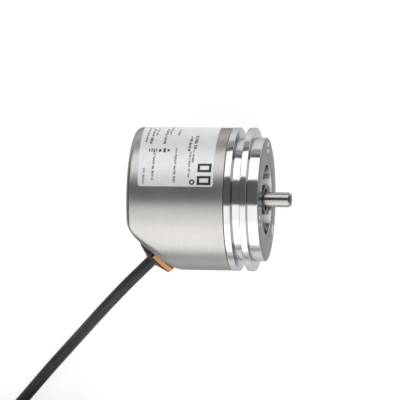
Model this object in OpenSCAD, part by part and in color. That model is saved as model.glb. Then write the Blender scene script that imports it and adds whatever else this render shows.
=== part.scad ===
// Incremental rotary encoder, synchro flange, solid shaft, with cable and connector.
// The shaft axis is X, and the shaft points to +X. The origin lies on that axis, in the
// shoulder plane where the centring collar meets the front ring. The encoder lies on its
// side: the surface that it lies on is at z = -ring_d / 2.

/* [Flange] */
// Diameter of the two flange rings
ring_d = 58; // [57.9:0.1:58.4]
// Diameter of the centring collar
collar_d = 50; // [49:0.5:51]
// Length of the centring collar
collar_l = 4.2; // [3.6:0.2:5]
// Depth of the ring recess in the front face
recess_t = 4; // [3:0.1:4]
// Outer diameter of the ring recess
recess_d = 28; // [24:0.5:30]
// Diameter of the sleeve round the shaft, inside the ring recess
boss_d = 11.8; // [11.4:0.2:13]
// How far the sleeve lies behind the front face
boss_t = 0.4; // [0.2:0.1:1]
// Pitch circle of the mounting holes
bolt_pcd = 42; // [40:0.5:43]
// Core diameter of the mounting holes
bolt_core_d = 3.3; // [2.5:0.1:3.5]

/* [Housing] */
// Outer diameter of the housing
cap_d = 57.6; // [57.2:0.1:57.7]
// Length of the housing behind the flange
cap_l = 39.35; // [39:0.05:42]
// Wall of the housing
cap_t = 1.5; // [1:0.1:1.5]
// Radius of the rear edge
cap_r = 2.5; // [1.5:0.5:3]
// Leg of the slanted corner that carries the cable
corner_leg = 15.5; // [14:0.5:15.5]

/* [Shaft] */
// Diameter of the shaft end
shaft_d = 6; // [5:0.5:7]
// Length of the shaft end in front of the collar
shaft_l = 10; // [8:0.5:12]
// Length of the end chamfer
shaft_c = 1; // [0.3:0.1:1.2]

/* [Bearings] */
// Balls in each bearing
balls = 9; // [7:1:10]
// Diameter of a ball
ball_d = 2; // [1.8:0.1:2]

/* [Code disc] */
// Diameter of the code disc
disc_d = 36; // [34:0.5:37]
// Windows in the outer track
windows = 90; // [36:6:120]

/* [Cable] */
// Diameter of the cable
cable_d = 4.7; // [4.5:0.1:4.7]
// Diameter of the gland's seal
gland_d = 17.4; // [16:0.2:18]

/* [Hidden] */
$fn = 96;
ring_r = ring_d / 2;
collar_r = collar_d / 2;
floor_z = -29;
cap_x1 = -9.25;
cap_x0 = cap_x1 - cap_l;
cap_ro = cap_d / 2;
cap_ri = cap_ro - cap_t;
spigot_r = cap_ri - 0.1;
corner_sum = cap_x0 - cap_ro + corner_leg;
gland_x = (corner_sum - 17.4) / 2;
gland_y = (corner_sum + 17.4) / 2;
gland_r = gland_d / 2;
pitch_r = 6;
hole_a = [-5.6, 114.4, 234.4];
post_a = [0, 120, 240];
wire_d = 0.9;

// Route of the cable from inside the gland to the coil
lead_pts = [
    [-35, -17.6, 0], [-42.5, -25.1, 0], [-47, -29.5, 0], [-51.6, -34, 0],
    [-56.3, -38.7, -1], [-61.3, -43.6, -3.6], [-66.6, -48.6, -8.2], [-72.2, -53.6, -15.2],
    [-78, -58.9, -21.8], [-83.1, -64, -25.2], [-87.9, -69.1, -26.4], [-92.3, -74.2, -26.6],
    [-96.7, -79.4, -26.6], [-101, -84.5, -26.5], [-105.5, -89.8, -26.2], [-110, -95.2, -25.8], [-114.7, -100.7, -25.65]
];
// Route of the cable from the coil to the connector, over the top of the coil
tail_pts = [
    [-92, -90.3, -11.2], [-99.8, -90.3, -10.7], [-109.1, -92.3, -10.1], [-116.6, -98.1, -9.5], [-121, -105.5, -9.1],
    [-122.3, -112.8, -8.8], [-121.3, -120.1, -7.9], [-118.1, -126.7, -6.3], [-112.7, -131.9, -4.4],
    [-106.6, -134.7, -2.6], [-99.8, -135.5, -1.7], [-92.8, -135.5, -1.6]
];
coil_x = -89.3;
coil_y = -122;
coil_mid_r = 26.7;
coil_z0 = -28;
layer_h = 4.8;
coil_turns = 2.8;
coil_layers = 4;
plug_x = -99.8;
plug_y = -135.5;
plug_z = -1.6;

// A profile of [radius, x] points turned about the X axis
module rev(p) { rotate([0, 90, 0]) rotate_extrude() polygon(p); }
// A cylinder along X
module xcyl(r, a, b) { translate([a, 0, 0]) rotate([0, 90, 0]) cylinder(r = r, h = b - a); }
// A place at a radius and an angle from +Y towards +Z
module at(x, r, a) { translate([x, r * cos(a), r * sin(a)]) children(); }
// A tube along X with plain ends
module xtube(ro, ri, a, b) { rev([[ri, a], [ro, a], [ro, b], [ri, b]]); }
// The gland's own frame: origin on the slanted face, +Z out of it
module in_gland() { translate([gland_x, gland_y, 0]) rotate([0, 0, 225]) rotate([0, 90, 0]) children(); }
// The connector's own frame: +Z along its axis towards the pins
module in_plug() { translate([plug_x, plug_y, plug_z]) rotate([0, 90, 0]) children(); }
module turned(p) { rotate_extrude() polygon(p); }
// Everything beyond a slanted plane x + y = s
module beyond(s) { translate([s / 2, s / 2, 0]) rotate([0, 0, 45]) translate([-200, -100, -100]) cube([200, 200, 200]); }

function unit(v) = v / norm(v);
function way(p, i) = unit(p[min(i + 1, len(p) - 1)] - p[max(i - 1, 0)]);
module swept(p, r, n) {
    m = len(p);
    polyhedron(
        points = [for (i = [0:m - 1]) let (t = way(p, i), u = unit(cross([0, 0, 1], t)), v = cross(t, u))
            for (k = [0:n - 1]) p[i] + r * (cos(360 * k / n) * u + sin(360 * k / n) * v)],
        faces = concat([[for (k = [0:n - 1]) k]], [[for (k = [n - 1:-1:0]) (m - 1) * n + k]],
            [for (i = [0:m - 2]) for (k = [0:n - 1]) [i * n + k, (i + 1) * n + k, (i + 1) * n + (k + 1) % n, i * n + (k + 1) % n]]),
        convexity = 6);
}

module flange() color([0.82, 0.83, 0.85]) difference() {
    rev([[8, -22.05], [8, -1], [4.6, -1], [4.6, collar_l - boss_t], [boss_d / 2, collar_l - boss_t], [boss_d / 2, collar_l - recess_t],
        [recess_d / 2, collar_l - recess_t], [recess_d / 2, collar_l - 0.2], [recess_d / 2 + 0.2, collar_l], [collar_r - 0.4, collar_l], [collar_r, collar_l - 0.4],
        [collar_r, 0], [ring_r - 0.3, 0], [ring_r, -0.3], [ring_r, -2.4], [ring_r - 0.3, -2.7],
        [collar_r - 0.25, -2.7], [collar_r - 0.25, -6.3], [ring_r - 0.3, -6.3], [ring_r, -6.6], [ring_r, -8.8], [ring_r - 0.3, -9.1],
        [spigot_r, -9.1], [spigot_r, -10.4], [spigot_r - 1.1, -10.4], [spigot_r - 1.1, -12], [spigot_r, -12], [spigot_r, -12.6], [spigot_r - 0.4, -13],
        [11, -13], [11, -24], [10.5, -24.5], [8, -24.5], [8, -22.95], [8.6, -22.95], [8.6, -22.05]]);
    for (a = hole_a) at(0, bolt_pcd / 2, a) {
        xcyl(bolt_core_d / 2, -4, collar_l + 1);
        rev([[0, collar_l - 0.5], [bolt_core_d / 2, collar_l - 0.5], [bolt_core_d / 2 + 0.6, collar_l + 0.1], [0, collar_l + 0.1]]);
    }
    for (a = post_a) at(0, 21.5, a) xcyl(1.25, -14, -8);
    for (s = [-1, 1]) translate([0, s * 6.6, 16]) xcyl(1, -14, -8);
}

module cap_form(ro, x0, x1, r) {
    rotate([0, 90, 0]) rotate_extrude() union() {
        translate([0, x0 + r]) square([ro, x1 - x0 - r]);
        translate([0, x0]) square([ro - r, r + 0.1]);
        translate([ro - r, x0 + r]) circle(r);
    }
}
module housing_cap() color([0.72, 0.70, 0.67]) difference() {
    cap_form(cap_ro, cap_x0, cap_x1, cap_r);
    beyond(corner_sum);
    difference() {
        cap_form(cap_ri, cap_x0 + cap_t, cap_x1 + 1, 1);
        beyond(corner_sum + cap_t * sqrt(2));
    }
    in_gland() translate([0, 0, -4]) cylinder(r = 6.2, h = 8);
}

module housing_o_ring() color([0.1, 0.1, 0.1]) rotate([0, 90, 0]) rotate_extrude() translate([spigot_r - 0.55, -11.2]) circle(0.54);

module rating_label() color([0.93, 0.93, 0.94]) difference() {
    xtube(cap_ro + 0.12, cap_ro + 0.01, -43.65, -13.6);
    rotate([-9.5, 0, 0]) translate([-60, -80, -80]) cube([60, 80, 160]);
    rotate([-165, 0, 0]) translate([-60, 0, -80]) cube([60, 80, 160]);
}

module shaft_seal() color([0.12, 0.12, 0.13])
    rev([[7.98, -1.05], [5.9, -1.05], [4.06, -2.2], [4.06, -2.9], [4.7, -3.4], [4.75, -2.3], [6.6, -1.9], [6.6, -4.5], [7.98, -4.5]]);
module seal_spring() color([0.7, 0.7, 0.7]) rotate([0, 90, 0]) rotate_extrude() translate([5.15, -2.95]) circle(0.3);

module race(x, outer) {
    rotate([0, 90, 0]) rotate_extrude() difference() {
        if (outer) translate([pitch_r + 0.75, x - 2.5]) square([1.23, 5]);
        else translate([4.01, x - 2.5]) square([1.24, 5]);
        translate([pitch_r, x]) circle(ball_d / 2 + 0.05);
    }
}
module shields(x) for (s = [-1, 1]) xtube(6.73, 5.55, x + s * 2.3 - 0.15, x + s * 2.3 + 0.15);
module cage(x) difference() {
    xtube(pitch_r + 0.5, pitch_r - 0.5, x - 1.5, x + 1.3);
    for (i = [0:balls - 1]) rotate([360 * i / balls, 0, 0]) translate([x, pitch_r - 1.5, 0]) rotate([-90, 0, 0]) cylinder(r = ball_d / 2 + 0.08, h = 3);
}
module ball_set(x) for (i = [0:balls - 1]) at(x, pitch_r, 360 * i / balls) sphere(ball_d / 2);

module front_outer_ring() color([0.75, 0.75, 0.77]) race(-8.05, true);
module front_inner_ring() color([0.75, 0.75, 0.77]) race(-8.05, false);
module front_shields() color([0.62, 0.62, 0.64]) shields(-8.05);
module front_cage() color([0.78, 0.64, 0.35]) cage(-8.05);
module front_balls() color([0.85, 0.85, 0.87]) ball_set(-8.05);
module rear_outer_ring() color([0.75, 0.75, 0.77]) race(-19.5, true);
module rear_inner_ring() color([0.75, 0.75, 0.77]) race(-19.5, false);
module rear_shields() color([0.62, 0.62, 0.64]) shields(-19.5);
module rear_cage() color([0.78, 0.64, 0.35]) cage(-19.5);
module rear_balls() color([0.85, 0.85, 0.87]) ball_set(-19.5);

module outer_spacer() color([0.7, 0.7, 0.72]) xtube(7.97, 6.8, -15.7, -10.57);
module inner_spacer() color([0.7, 0.7, 0.72]) xtube(5.1, 4.01, -16.98, -10.57);
module wave_spring() color([0.55, 0.56, 0.6]) {
    n = 48;
    polyhedron(
        points = [for (i = [0:n - 1]) let (a = 360 * i / n, c = -16.36 + 0.4 * sin(3 * a))
            for (q = [[7, -0.12], [7.8, -0.12], [7.8, 0.12], [7, 0.12]]) [c + q[1], q[0] * cos(a), q[0] * sin(a)]],
        faces = [for (i = [0:n - 1]) for (k = [0:3]) [i * 4 + k, i * 4 + (k + 1) % 4, ((i + 1) % n) * 4 + (k + 1) % 4, ((i + 1) % n) * 4 + k]],
        convexity = 6);
}
module retaining_ring() color([0.3, 0.3, 0.32]) difference() {
    union() {
        xtube(8.5, 7, -22.9, -22.1);
        for (s = [-1, 1]) at(-22.5, 7, 90 + s * 16) xcyl(1, -0.4, 0.4);
    }
    translate([-24, -1.4, 4]) cube([3, 2.8, 6]);
    for (s = [-1, 1]) at(-22.5, 7, 90 + s * 16) xcyl(0.45, -1, 1);
}

module shaft() color([0.8, 0.79, 0.76]) rev([[0, -28], [3.6, -28], [4, -27.6], [4, -5.52], [3.7, -5.52], [3.7, -4.98], [4, -4.98], [4, 2.6], [3.6, 3],
    [shaft_d / 2, 3], [shaft_d / 2, collar_l + shaft_l - shaft_c], [shaft_d / 2 - shaft_c * 0.7, collar_l + shaft_l], [0, collar_l + shaft_l]]);
module shaft_snap_ring() color([0.3, 0.3, 0.32]) difference() {
    xtube(5.1, 3.72, -5.5, -5);
    translate([-6, -1.2, 2]) cube([2, 2.4, 4]);
}
module disc_hub() color([0.8, 0.68, 0.42]) difference() {
    rev([[4.02, -22.05], [5.2, -22.05], [5.2, -24.9], [9, -24.9], [9.2, -25.1], [9.2, -27.6], [9, -27.8], [5, -27.8], [5, -28.4], [4.02, -28.4]]);
    translate([-26.4, 0, 0]) cylinder(r = 1, h = 12);
}
module hub_screw() color([0.2, 0.2, 0.22]) difference() {
    translate([-26.4, 0, 4.05]) cylinder(r = 0.98, h = 4.4);
    translate([-26.4, 0, 7.2]) cylinder(r = 0.55, h = 3, $fn = 6);
}
module code_disc() color([0.8, 0.9, 0.92, 0.6]) xtube(disc_d / 2, 5.05, -28.8, -27.82);
module code_track() color([0.3, 0.3, 0.33]) {
    translate([-28.86, 0, 0]) rotate([0, 90, 0]) linear_extrude(0.05) difference() {
        polygon([for (i = [0:windows - 1]) for (q = [[14.6, 0.02], [17.2, 0.02], [17.2, 0.48], [14.6, 0.48]])
            let (a = 360 * (i + q[1]) / windows) [q[0] * cos(a), q[0] * sin(a)]]);
        circle(r = 14);
    }
    translate([-28.86, 0, 0]) rotate([0, 90, 0]) linear_extrude(0.05) difference() {
        circle(r = 13);
        circle(r = 11.6);
        rotate(20) translate([0, -0.6]) square([20, 1.2]);
    }
}

module emitter_bracket() color([0.13, 0.13, 0.14]) difference() {
    union() {
        translate([-25.6, -4.2, 12.6]) cube([12.55, 8.4, 7.6]);
        translate([-15.55, -8.4, 13]) cube([2.5, 16.8, 6]);
    }
    translate([0, 0, 16]) xcyl(2, -26, -16);
    for (s = [-1, 1]) translate([0, s * 6.6, 16]) xcyl(1.15, -16, -12);
}
module bracket_screws() color([0.65, 0.65, 0.67]) for (s = [-1, 1]) translate([0, s * 6.6, 16]) difference() {
    union() {
        xcyl(0.98, -15.7, -8.6);
        xcyl(1.9, -17.1, -15.57);
    }
    translate([-17.2, 0, 0]) rotate([0, 90, 0]) cylinder(r = 0.85, h = 0.9, $fn = 6);
}
module led() color([0.75, 0.75, 0.8, 0.7]) translate([0, 0, 16]) {
    xcyl(1.9, -17.6, -16.4);
    difference() {
        union() {
            xcyl(1.5, -20.6, -17.55);
            translate([-20.6, 0, 0]) sphere(1.5);
        }
    }
    for (s = [-1, 1]) translate([-16.5, s * 0.6, -0.2]) cube([0.4, 0.4, 0.4]);
}
module condenser_lens() color([0.85, 0.92, 0.95, 0.5]) translate([0, 0, 16]) intersection() {
    xcyl(1.95, -25.6, -23.4);
    translate([-21.2, 0, 0]) sphere(3.9);
}
module reticle() color([0.8, 0.9, 0.92, 0.6]) difference() {
    translate([-29.65, -3, 13]) cube([0.4, 6, 6]);
    for (i = [-4:4]) translate([-29.7, i * 0.6 - 0.15, 14.6]) cube([0.12, 0.3, 2.8]);
}
module detector_chip() color([0.1, 0.1, 0.11]) difference() {
    union() {
        translate([-30.95, -4, 12.2]) cube([1.28, 8, 7.6]);
        for (s = [-1, 1]) for (i = [-2:2]) translate([-30.98, s * 4.4 - 0.45, 16 + i * 1.27 - 0.2]) cube([0.3, 0.9, 0.4]);
    }
    translate([-29.9, -2, 14]) cube([1, 4, 4]);
}

module board(x, cut) difference() {
    xcyl(23.5, x, x + 1.6);
    for (a = post_a) at(0, 21.5, a) xcyl(1.35, x - 1, x + 3);
    if (cut) translate([x - 1, -40, -40]) cube([4, 26, 80]);
    else translate([x - 1, -40, -8]) cube([4, 20.4, 16]);
    for (i = [-1.5:1:1.5]) for (j = [-0.5, 0.5]) translate([x - 1, 8 + j * 2.54 - 0.35, i * 2.54 - 0.35]) cube([4, 0.7, 0.7]);
}
module sensor_board() color([0.05, 0.3, 0.15]) board(-32.6, false);
module output_board() color([0.05, 0.3, 0.15]) board(-38.2, true);
module board_posts() color([0.8, 0.7, 0.45]) for (a = post_a) at(0, 21.5, a) difference() {
    union() {
        translate([-30.97, 0, 0]) rotate([0, 90, 0]) cylinder(r = 2.5, h = 17.94, $fn = 6);
        xcyl(1.22, -13.1, -8.6);
    }
    xcyl(1.22, -31.5, -24);
}
module board_spacers() color([0.85, 0.85, 0.83]) for (a = post_a) at(0, 21.5, a) xtube(2.2, 1.35, -36.57, -32.63);
module board_screws() color([0.7, 0.7, 0.72]) for (a = post_a) at(0, 21.5, a) difference() {
    union() {
        xcyl(1.2, -38.3, -25);
        xcyl(2.1, -39.8, -38.22);
    }
    translate([-39.9, 0, 0]) rotate([0, 90, 0]) cylinder(r = 0.9, h = 0.9, $fn = 6);
}
module chip(x, y, z, l, w, h, legs) translate([x, y, z]) {
    translate([-h, -w / 2, -l / 2]) cube([h - 0.1, w, l]);
    for (s = [-1, 1]) for (i = [0:legs - 1]) {
        translate([-0.28, s * (w / 2 + 0.55) - 0.55, (i - (legs - 1) / 2) * 1.27 - 0.2]) cube([0.26, 1.1, 0.4]);
        translate([-h * 0.55, s * (w / 2 + 0.18) - 0.22, (i - (legs - 1) / 2) * 1.27 - 0.2]) cube([h * 0.55 - 0.02, 0.44, 0.4]);
    }
}
module driver_chip() color([0.12, 0.12, 0.13]) chip(-38.22, -5, 6, 10, 4, 1.6, 8);
module signal_chip() color([0.12, 0.12, 0.13]) chip(-38.22, 13, -6, 9, 4, 1.6, 7);
module capacitors() color([0.72, 0.6, 0.42]) {
    for (q = [[2, -14], [-7, -12], [14, 8]]) {
        translate([-39.8, q[0] - 1.4, q[1] - 1.9]) cube([1.56, 2.8, 0.7]);
        translate([-39.8, q[0] - 1.4, q[1] + 1.2]) cube([1.56, 2.8, 0.7]);
        translate([-39.72, q[0] - 1.3, q[1] - 1.21]) cube([1.4, 2.6, 2.42]);
    }
    translate([-38.24, 5, 14]) rotate([0, -90, 0]) {
        cylinder(r = 3.1, h = 0.7);
        translate([0, 0, 0.69]) cylinder(r = 2.9, h = 4.2);
    }
}
module board_header() color([0.12, 0.12, 0.13]) difference() {
    translate([-36.57, 5.4, -5.2]) cube([3.94, 5.2, 10.4]);
    for (i = [-1.5:1:1.5]) for (j = [-0.5, 0.5]) translate([-37, 8 + j * 2.54 - 0.35, i * 2.54 - 0.35]) cube([6, 0.7, 0.7]);
}
module header_pins() color([0.85, 0.7, 0.35]) for (i = [-1.5:1:1.5]) for (j = [-0.5, 0.5])
    translate([-39.6, 8 + j * 2.54 - 0.3, i * 2.54 - 0.3]) cube([9.2, 0.6, 0.6]);
module wire_socket() color([0.9, 0.9, 0.88]) difference() {
    translate([-36.55, -9.2, -7.2]) cube([3.4, 5.6, 14.4]);
    for (i = [-3.5:1:3.5]) translate([-35.6, -10, i * 1.75 - 0.55]) cube([1.3, 3.5, 1.1]);
    for (i = [-3:1:3]) translate([-33.4, -6, i * 1.75 - 0.2]) cube([1, 1.6, 0.4]);
}
module wires() color([0.75, 0.45, 0.3]) for (j = [0:7])
    swept([for (t = [0:0.125:1]) let (f = min(1, t / 0.75), s = f * f * (3 - 2 * f), q = 22.5 + 45 * floor(j / 2), w = (1 - s) * 1.15 * sin(q) * (j % 2 == 0 ? 1 : -1))
        [-34.6 - 0.35 * s + w, -17.2 + 9.9 * t - w, -(1 - s) * 1.7 * cos(q) + s * 1.75 * (j - 3.5)]], wire_d / 2, 8);

module gland_seal() color([0.86, 0.5, 0.2]) in_gland() difference() {
    turned([[4, -3.3], [7.2, -3.3], [7.2, -1.55], [6.15, -1.55], [6.15, 0.02], [gland_r, 0.02], [gland_r, 1.5], [gland_r - 0.35, 1.88], [4, 1.88]]);
    heel(0);
}
// The side of the gland where the strain relief's heel covers the seal
module heel(g) difference() {
    translate([-20, -20, -0.01 + g]) cube([40, 20.4 - g, 10]);
    translate([0, 0, -1]) cylinder(r = 6.3 + g, h = 12);
}
module strain_relief() color([0.12, 0.12, 0.13]) in_gland() {
    turned([[cable_d / 2 + 0.05, -6], [3.95, -6], [3.95, 1.9], [gland_r - 0.35, 1.9], [gland_r - 0.35, 2.2], [gland_r - 0.6, 2.45],
        [3.4, 4.02], [3, 4.2], [cable_d / 2 + 0.05, 4.2]]);
    intersection() {
        turned([[6.3, 0.04], [gland_r, 0.04], [gland_r, 1.65], [gland_r - 0.35, 2], [6.3, 2]]);
        heel(0.03);
    }
}
module gland_nut() color([0.75, 0.7, 0.5]) in_gland() difference() {
    translate([0, 0, -6]) cylinder(r = 6, h = 2.65, $fn = 6);
    translate([0, 0, -7]) cylinder(r = 3.98, h = 6);
}

module cable_lead() color([0.17, 0.17, 0.18]) swept(lead_pts, cable_d / 2, 10);
module cable_tail() color([0.17, 0.17, 0.18]) swept(tail_pts, cable_d / 2, 10);
module cable_coil() color([0.17, 0.17, 0.18]) translate([coil_x, coil_y, coil_z0]) {
    a = coil_mid_r - coil_turns / 2 * layer_h - cable_d / 2;
    b = coil_mid_r + coil_turns / 2 * layer_h + cable_d / 2;
    h = (coil_layers - 1) * layer_h + cable_d;
    c = 1.6;
    turned([[a + c, 0], [b - c, 0], [b, c], [b, h - c], [b - c, h], [a + c, h], [a, h - c], [a, c]]);
}
module cable_ties() color([0.1, 0.1, 0.1]) {
    w = coil_turns * layer_h + cable_d + 0.1;
    h = (coil_layers - 1) * layer_h + cable_d + 0.1;
    for (a = [50, 262]) translate([coil_x, coil_y, coil_z0 - 0.05]) rotate([0, 0, a]) translate([coil_mid_r, 0, 0]) rotate([90, 0, 0]) {
        translate([0, 0, -1.8]) linear_extrude(3.6) difference() {
            polygon([[-w / 2 - 0.9, 0.8], [-w / 2 + 0.8, -0.94], [w / 2 - 0.8, -0.94], [w / 2 + 0.9, 0.8],
                [w / 2 + 0.9, h - 0.8], [w / 2 - 0.8, h + 0.9], [-w / 2 + 0.8, h + 0.9], [-w / 2 - 0.9, h - 0.8]]);
            polygon([[-w / 2, 1.6], [-w / 2 + 1.6, 0], [w / 2 - 1.6, 0], [w / 2, 1.6], [w / 2, h - 1.6], [w / 2 - 1.6, h], [-w / 2 + 1.6, h], [-w / 2, h - 1.6]]);
        }
        difference() {
            translate([w / 2 + 0.85, h / 2 - 2.6, -2.6]) cube([3.4, 5.2, 5.2]);
            translate([w / 2 + 1.9, h / 2 - 3, -1.9]) cube([1.2, 6, 3.8]);
        }
    }
}

module plug_relief() color([0.12, 0.12, 0.13]) in_plug() difference() {
    turned([[cable_d / 2 + 0.05, 0], [3.1, 0], [3.4, 0.5], [5, 13], [5, 14], [cable_d / 2 + 0.05, 14]]);
    for (i = [0:3]) translate([0, 0, 2.4 + i * 2.8]) difference() {
        cylinder(r = 8, h = 1.1);
        translate([0, 0, -1]) cylinder(r = 3 + i * 0.3, h = 4);
        translate([-8, -0.9, -1]) cube([16, 1.8, 4]);
    }
}
module plug_body() color([0.13, 0.13, 0.14]) in_plug() difference() {
    turned([[0, 14.02], [5.2, 14.02], [6.1, 15], [6.1, 30], [5.9, 30.4], [5.9, 31.2], [4.6, 31.2], [4.6, 47.5], [5.1, 47.7], [5.1, 48.3], [4.7, 48.8],
        [4.3, 48.8], [4.3, 40], [0, 40]]);
    for (a = [0:30:359]) rotate([0, 0, a]) translate([6.6, 0, 17]) cylinder(r = 0.85, h = 11);
}
module plug_nut() color([0.75, 0.74, 0.71]) in_plug() difference() {
    turned([[4.7, 31.5], [6.8, 31.5], [7.2, 31.9], [7.2, 39.6], [6.8, 40], [5.4, 40], [5.4, 42], [6, 42.4], [6, 50.1], [5.6, 50.5], [5.25, 50.5], [5.25, 47.2], [4.7, 47.2]]);
    for (a = [0:15:359]) rotate([0, 0, a]) translate([7.45, 0, 32.4]) cylinder(r = 0.45, h = 6.8, $fn = 16);
}
module plug_o_ring() color([0.1, 0.1, 0.1]) in_plug() rotate_extrude() translate([6.2, 41.05]) circle(0.78);
module plug_insert() color([0.15, 0.15, 0.16]) in_plug() difference() {
    translate([0, 0, 40.05]) cylinder(r = 4.25, h = 3.4);
    for (a = [0:51.4286:359]) rotate([0, 0, a]) translate([2.75, 0, 39]) cylinder(r = 0.45, h = 6);
    translate([0, 0, 39]) cylinder(r = 0.45, h = 6);
    rotate([0, 0, 25.7]) translate([4.4, 0, 39]) cylinder(r = 0.6, h = 6);
}
module plug_pins() color([0.85, 0.7, 0.35]) in_plug() {
    for (a = [0:51.4286:359]) rotate([0, 0, a]) translate([2.75, 0, 0]) turned([[0, 40.1], [0.4, 40.1], [0.4, 48], [0.2, 48.4], [0, 48.4]]);
    turned([[0, 40.1], [0.4, 40.1], [0.4, 48], [0.2, 48.4], [0, 48.4]]);
}

flange();
housing_cap();
housing_o_ring();
rating_label();
shaft_seal();
seal_spring();
front_outer_ring();
front_shields();
rear_outer_ring();
rear_shields();
outer_spacer();
wave_spring();
retaining_ring();
emitter_bracket();
bracket_screws();
led();
condenser_lens();
reticle();
detector_chip();
sensor_board();
output_board();
board_posts();
board_spacers();
board_screws();
driver_chip();
signal_chip();
capacitors();
board_header();
header_pins();
wire_socket();
wires();
gland_seal();
strain_relief();
gland_nut();
shaft();
shaft_snap_ring();
front_inner_ring();
rear_inner_ring();
inner_spacer();
disc_hub();
hub_screw();
code_disc();
code_track();
front_cage();
front_balls();
rear_cage();
rear_balls();
cable_lead();
cable_coil();
cable_tail();
cable_ties();
plug_relief();
plug_body();
plug_insert();
plug_pins();
plug_nut();
plug_o_ring();
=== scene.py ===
"""Rotary encoder: the looks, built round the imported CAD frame. Metres, same frame as the CAD."""
import math

import bmesh
import bpy
import numpy as np
from mathutils import Matrix, Vector


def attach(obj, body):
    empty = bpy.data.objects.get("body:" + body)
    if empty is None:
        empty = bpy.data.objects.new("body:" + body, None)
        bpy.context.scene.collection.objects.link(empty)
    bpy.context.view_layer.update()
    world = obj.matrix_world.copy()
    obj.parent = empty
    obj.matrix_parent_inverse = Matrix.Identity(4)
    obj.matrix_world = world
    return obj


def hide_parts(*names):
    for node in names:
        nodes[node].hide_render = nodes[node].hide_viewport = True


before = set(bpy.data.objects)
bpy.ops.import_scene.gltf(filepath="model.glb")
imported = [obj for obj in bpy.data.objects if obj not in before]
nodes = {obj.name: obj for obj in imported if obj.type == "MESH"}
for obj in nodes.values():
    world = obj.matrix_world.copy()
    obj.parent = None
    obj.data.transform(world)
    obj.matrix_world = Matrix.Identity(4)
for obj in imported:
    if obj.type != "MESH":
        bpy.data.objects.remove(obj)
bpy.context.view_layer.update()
MM = 0.001
scene = bpy.context.scene

# ---------------------------------------------------------------- camera
AZ = math.radians(9.3)
ROLL = math.radians(0.7)
DIST = 1.69
TARGET = Vector((-0.02305, -0.0005, 0.0))
back = Vector((math.sin(AZ), 0, math.cos(AZ)))
right = Vector((math.cos(AZ), 0, -math.sin(AZ)))
up = Vector((0, 1, 0))
cx = right * math.cos(ROLL) + up * math.sin(ROLL)
cy = up * math.cos(ROLL) - right * math.sin(ROLL)
cam_data = bpy.data.cameras.new("camera")
cam_data.sensor_width = 36
cam_data.lens = 376.5
cam_data.clip_start, cam_data.clip_end = 0.05, 30
cam = bpy.data.objects.new("camera", cam_data)
scene.collection.objects.link(cam)
pos = TARGET + back * DIST
cam.matrix_world = Matrix(((cx.x, cy.x, back.x, pos.x), (cx.y, cy.y, back.y, pos.y), (cx.z, cy.z, back.z, pos.z), (0, 0, 0, 1)))
scene.camera = cam
scene.view_settings.view_transform = "Standard"
scene.view_settings.look = "None"
scene.view_settings.exposure = 0
scene.view_settings.gamma = 1


# ---------------------------------------------------------------- material kit
class Tree:
    """A thin helper for building one material's nodes."""

    def __init__(self, name):
        self.m = bpy.data.materials.new(name)
        self.m.use_nodes = True
        self.t = self.m.node_tree
        self.b = next(n for n in self.t.nodes if n.type == "BSDF_PRINCIPLED")

    def add(self, kind, **inputs):
        n = self.t.nodes.new(kind)
        for k, v in inputs.items():
            if k.startswith("p_"):
                setattr(n, k[2:], v)
        for k, v in inputs.items():
            if not k.startswith("p_"):
                self.put(n, k, v)
        return n

    def put(self, n, k, v):
        key = int(k[1:]) if k[0] == "i" and k[1:].isdigit() else k.replace("_", " ")
        s = n.inputs[key]
        if isinstance(v, bpy.types.NodeSocket):
            self.t.links.new(v, s)
        else:
            s.default_value = v

    def math(self, op, a, b=0.0, c=0.0):
        return self.add("ShaderNodeMath", p_operation=op, i0=a, i1=b, i2=c).outputs[0]

    def ramp(self, fac, stops):
        n = self.add("ShaderNodeValToRGB", Fac=fac)
        while len(n.color_ramp.elements) < len(stops):
            n.color_ramp.elements.new(0.5)
        for e, (p, c) in zip(n.color_ramp.elements, stops):
            e.position = p
            e.color = (c, c, c, 1) if isinstance(c, (int, float)) else tuple(c) + (1,)
        return n.outputs[0]

    def noise(self, vec, scale, detail=3.0, rough=0.5):
        return self.add("ShaderNodeTexNoise", Vector=vec, Scale=scale, Detail=detail, Roughness=rough).outputs[0]

    def mm(self):
        """Object coordinates in millimetres."""
        c = self.add("ShaderNodeTexCoord").outputs["Object"]
        return self.add("ShaderNodeVectorMath", p_operation="SCALE", Vector=c, Scale=1000.0).outputs[0]

    def polar(self, vec, axis="X", centre=(0, 0, 0)):
        """(along, radius, angle) of a point about an axis parallel to X or Z."""
        v = self.add("ShaderNodeVectorMath", p_operation="SUBTRACT", i0=vec, i1=centre).outputs[0]
        s = self.add("ShaderNodeSeparateXYZ", Vector=v)
        a, u, w = (s.outputs[0], s.outputs[1], s.outputs[2]) if axis == "X" else (s.outputs[2], s.outputs[0], s.outputs[1])
        rr = self.math("SQRT", self.math("ADD", self.math("MULTIPLY", u, u), self.math("MULTIPLY", w, w)))
        return a, rr, self.math("ARCTAN2", w, u)

    def vec(self, x, y, z):
        return self.add("ShaderNodeCombineXYZ", X=x, Y=y, Z=z).outputs[0]

    def mixc(self, fac, a, b):
        n = self.add("ShaderNodeMix", p_data_type="RGBA")
        self.put_c(n, 0, fac)
        self.put_c(n, 6, a)
        self.put_c(n, 7, b)
        return n.outputs[2]

    def put_c(self, n, i, v):
        s = n.inputs[i]
        if isinstance(v, bpy.types.NodeSocket):
            self.t.links.new(v, s)
        else:
            s.default_value = v if isinstance(v, (int, float)) else (tuple(v) + (1,) if len(v) == 3 else v)

    def bump(self, height, strength, distance, under=None):
        n = self.add("ShaderNodeBump", Height=height, Strength=strength, Distance=distance)
        if under is not None:
            self.t.links.new(under, n.inputs["Normal"])
        return n.outputs[0]

    def out(self, **inputs):
        for k, v in inputs.items():
            self.put(self.b, k, v if not (isinstance(v, tuple) and len(v) == 3 and k == "Base_Color") else v + (1,))
        return self.m


def shade(c, k):
    return tuple(min(1.0, x * k) for x in c)


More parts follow.
